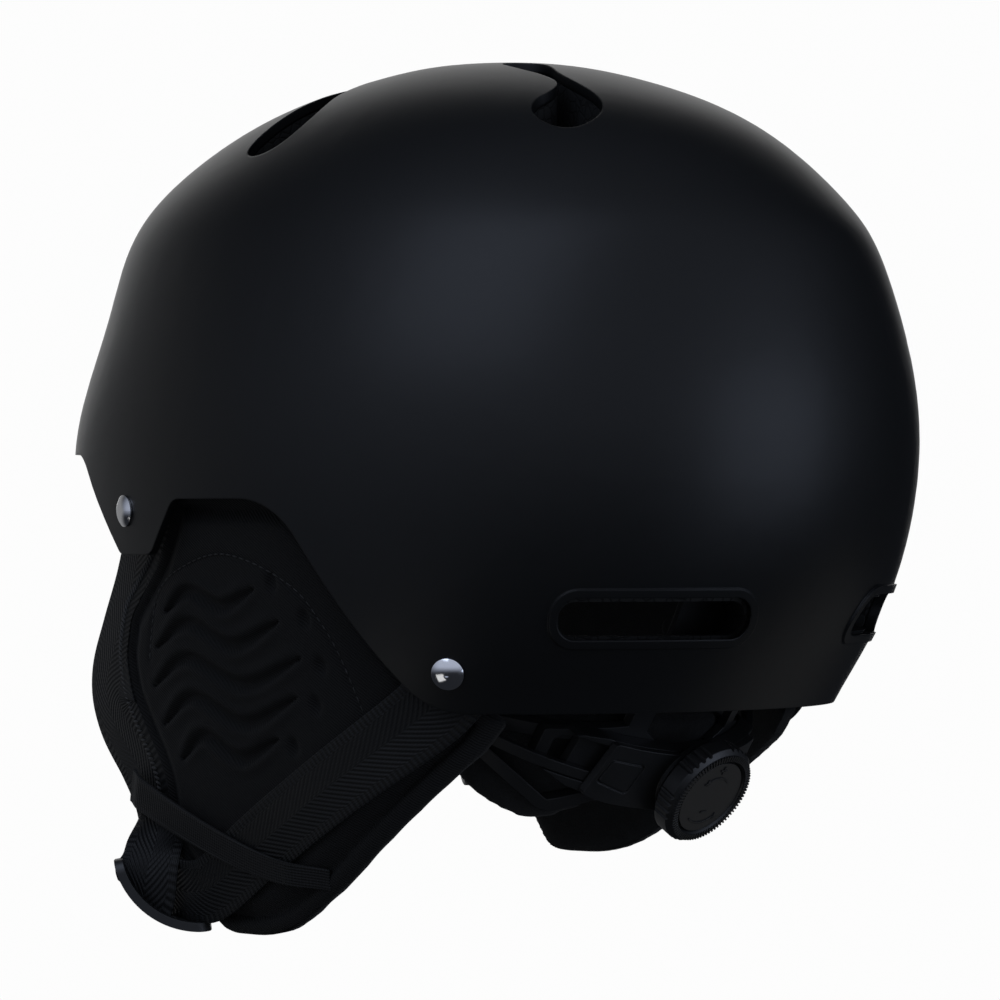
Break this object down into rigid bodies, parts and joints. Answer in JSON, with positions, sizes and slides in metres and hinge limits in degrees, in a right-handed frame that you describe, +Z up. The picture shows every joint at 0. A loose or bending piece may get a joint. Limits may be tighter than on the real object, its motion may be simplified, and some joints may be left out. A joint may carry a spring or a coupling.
{
  "type": "ski helmet",
  "caption": "Hard-shell ski helmet with a foam liner, hinged padded ear flaps, chin straps with an open clip, and a dial that tightens a nape cradle.",
  "frame": {"origin": "level with the tip of the left ear flap, the lowest point, below the middle of the overall length and width", "axes": "+Z up as worn, -Y the way the wearer faces, +X the wearer's left"},
  "size_m": [0.2124, 0.2674, 0.2499],
  "materials": {
    "shell_black": "satin, smooth moulded",
    "liner_black": "moulded bead foam, matt",
    "pad_fabric": "brushed knit over foam",
    "flap_twill": "twill weave, quilted",
    "webbing": "woven webbing, matt",
    "elastic": "woven elastic, matt",
    "rivet_steel": "polished",
    "black_plastic": "satin, lightly grained",
    "dial_plastic": "satin",
    "cap_plastic": "smooth semi-gloss",
    "buckle_plastic": "semi-gloss",
    "screw_steel": "zinc plated",
    "spring_plastic": "natural acetal"
  },
  "bodies": {
    "shell": {"outer_shell": "shell_black", "foam_liner": "liner_black", "crown_pad": "pad_fabric", "brow_pad": "pad_fabric", "side_pads": "pad_fabric", "rear_pads": "pad_fabric", "left_flap_top": "flap_twill", "right_flap_top": "flap_twill", "left_strap_tops": "webbing", "right_strap_tops": "webbing", "strap_rivets": "rivet_steel", "rivet_washers": "screw_steel", "cradle_brackets": "black_plastic"},
    "left_flap": {"left_ear_flap": "flap_twill", "left_front_strap": "webbing", "left_rear_strap": "webbing", "left_strap_loop": "webbing", "left_keeper": "elastic", "buckle_socket": "buckle_plastic"},
    "right_flap": {"right_ear_flap": "flap_twill", "right_front_strap": "webbing", "right_rear_strap": "webbing", "right_strap_loop": "webbing", "right_keeper": "elastic", "buckle_plug": "buckle_plastic"},
    "cradle": {"cradle_frame": "black_plastic", "nape_pad": "pad_fabric", "dial_housing": "black_plastic", "housing_cover": "black_plastic", "ratchet_spring": "spring_plastic", "housing_screws": "screw_steel"},
    "dial": {"dial_knob": "dial_plastic", "dial_cap": "cap_plastic", "dial_screw": "screw_steel", "dial_pinion": "black_plastic"},
    "left_rack": {"left_rack_arm": "black_plastic"},
    "right_rack": {"right_rack_arm": "black_plastic"}
  },
  "joints": [
    {"name": "left_flap_hinge", "type": "hinge", "parent": "shell", "child": "left_flap", "pos_m": [0.0935, 0, 0.086], "axis": [0.1182, -0.9266, 0.357], "range_deg": [0, 32]},
    {"name": "right_flap_hinge", "type": "hinge", "parent": "shell", "child": "right_flap", "pos_m": [-0.0935, 0, 0.086], "axis": [0.1182, 0.9266, -0.357], "range_deg": [0, 32]},
    {"name": "cradle_hinge", "type": "hinge", "parent": "shell", "child": "cradle", "pos_m": [0, 0.09021, 0.08831], "axis": [-1, 0, 0], "range_deg": [0, 10]},
    {"name": "dial_turn", "type": "hinge", "parent": "cradle", "child": "dial", "pos_m": [0, 0.0196, 0.0817], "axis": [0, 0.8387, -0.5446], "range_deg": [-110, 110]},
    {"name": "left_rack_slide", "type": "hinge", "parent": "cradle", "child": "left_rack", "pos_m": [0, 0.0196, 0.0817], "axis": [0, 0.5446, 0.8387], "range_deg": [-5.2, 5.2]},
    {"name": "right_rack_slide", "type": "hinge", "parent": "cradle", "child": "right_rack", "pos_m": [0, 0.0196, 0.0817], "axis": [0, 0.5446, 0.8387], "range_deg": [-5.2, 5.2]}
  ],
  "couplings": [
    {"joint": "left_rack_slide", "follows": "dial_turn", "ratio": 0.046875},
    {"joint": "right_rack_slide", "follows": "dial_turn", "ratio": -0.046875}
  ]
}
